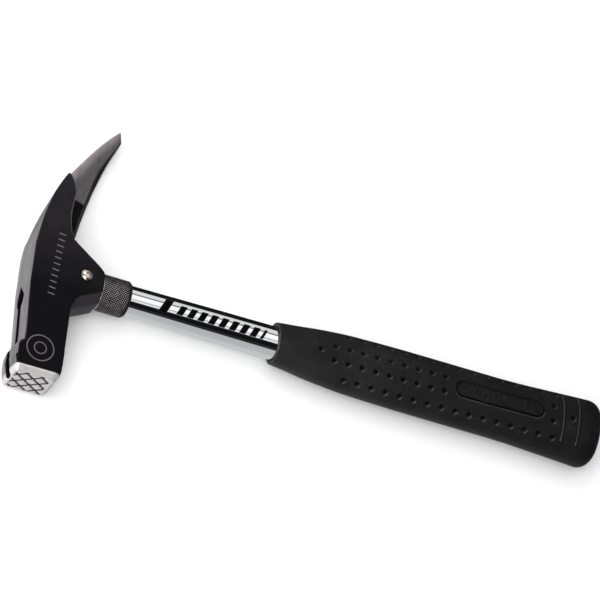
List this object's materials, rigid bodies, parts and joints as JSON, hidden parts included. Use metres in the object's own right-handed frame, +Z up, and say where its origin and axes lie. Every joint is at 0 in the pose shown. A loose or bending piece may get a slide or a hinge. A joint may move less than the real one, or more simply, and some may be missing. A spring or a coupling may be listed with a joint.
{
  "type": "roofing hammer",
  "caption": "Roofing hammer with a square checkered face, a magnetic nail groove, a claw tooth and long spike, pinned to a chromed steel tube with a knurled collar and dimpled rubber grip.",
  "frame": {"origin": "middle of the underside of the hammer's box, as it lies on its far cheek", "axes": "+X along the handle from the head to the butt, +Y from the striking face to the spike's tip, +Z up through the far cheek to the near one"},
  "size_m": [0.349, 0.173, 0.0267],
  "materials": {
    "black_paint": "satin black lacquer, ground bare on the top, the face and the spike",
    "polished_steel": "polished",
    "magnet": "plated magnet",
    "black_plastic": "moulded",
    "blackened_steel": "blackened, knurled",
    "chrome": "bright chrome plate with a printed band",
    "hardwood": "plain turned dowel",
    "black_rubber": "fine grain with moulded dimples"
  },
  "bodies": {
    "root": {"head_forging": "black_paint", "head_pin": "polished_steel", "nail_magnet": "magnet", "magnet_cup": "black_plastic", "knurled_collar": "blackened_steel", "handle_tube": "chrome", "tube_core": "hardwood", "tube_end_plug": "black_plastic", "grip_sleeve": "black_rubber"}
  },
  "joints": []
}
